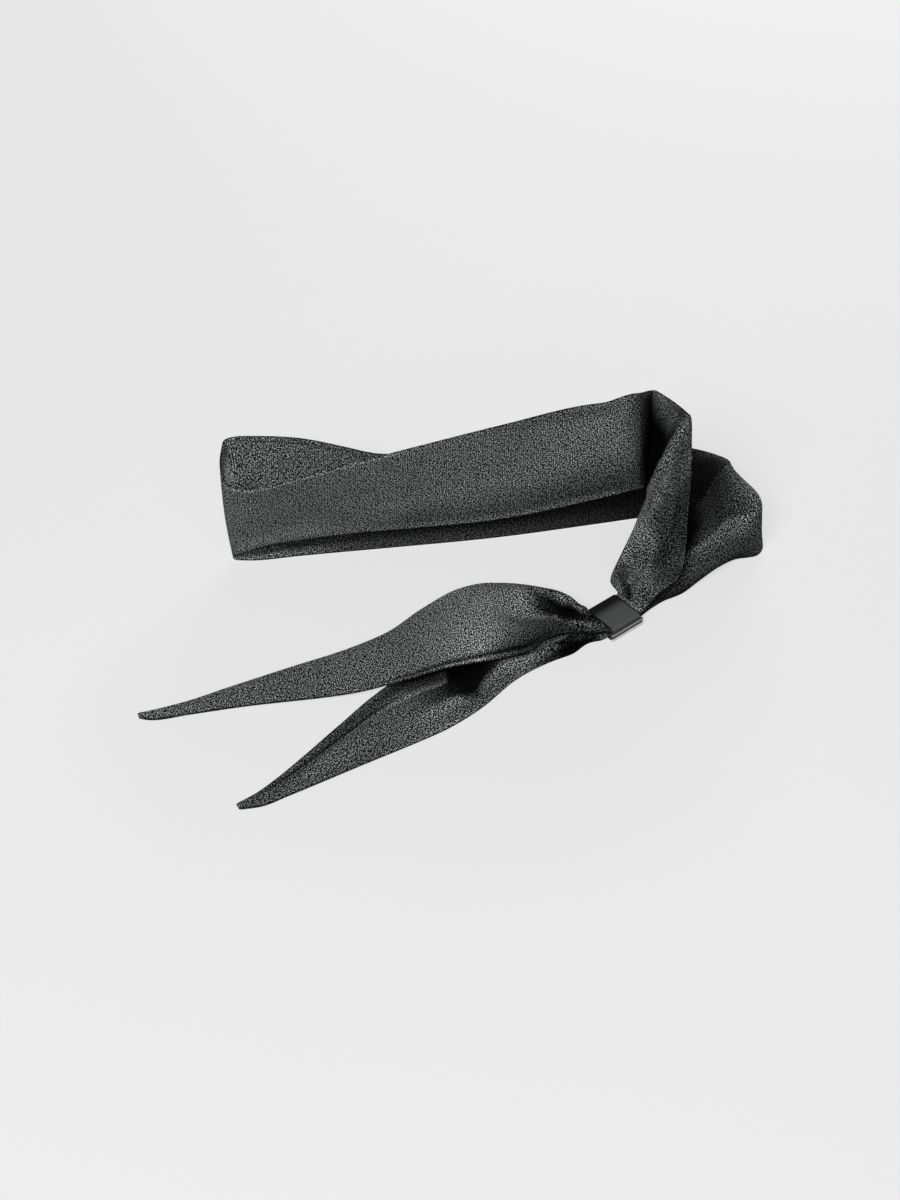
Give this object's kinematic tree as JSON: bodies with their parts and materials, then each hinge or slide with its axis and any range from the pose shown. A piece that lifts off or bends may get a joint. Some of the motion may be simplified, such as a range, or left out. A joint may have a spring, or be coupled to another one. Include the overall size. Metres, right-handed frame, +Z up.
{
  "type": "scarf tie with slide",
  "caption": "Slim scarf tie of dark grey wool-like cloth: a neck loop standing on its edge, drawn through a flat black metal slide, with pointed tails lying in front.",
  "frame": {"origin": "centre of the footprint, on the surface that the tie lies on", "axes": "+Z up; +X along the neck loop, towards its fold beside the slide; +Y from the tails to the neck loop"},
  "size_m": [0.3096, 0.2106, 0.1011],
  "materials": {
    "cloth": "matte fine melange weave",
    "black_metal": "satin black",
    "bright_metal": "brushed, dark nickel"
  },
  "bodies": {
    "root": {"scarf_strip": "cloth", "slide_sleeve": "black_metal", "slide_edge_bar": "bright_metal"}
  },
  "joints": []
}
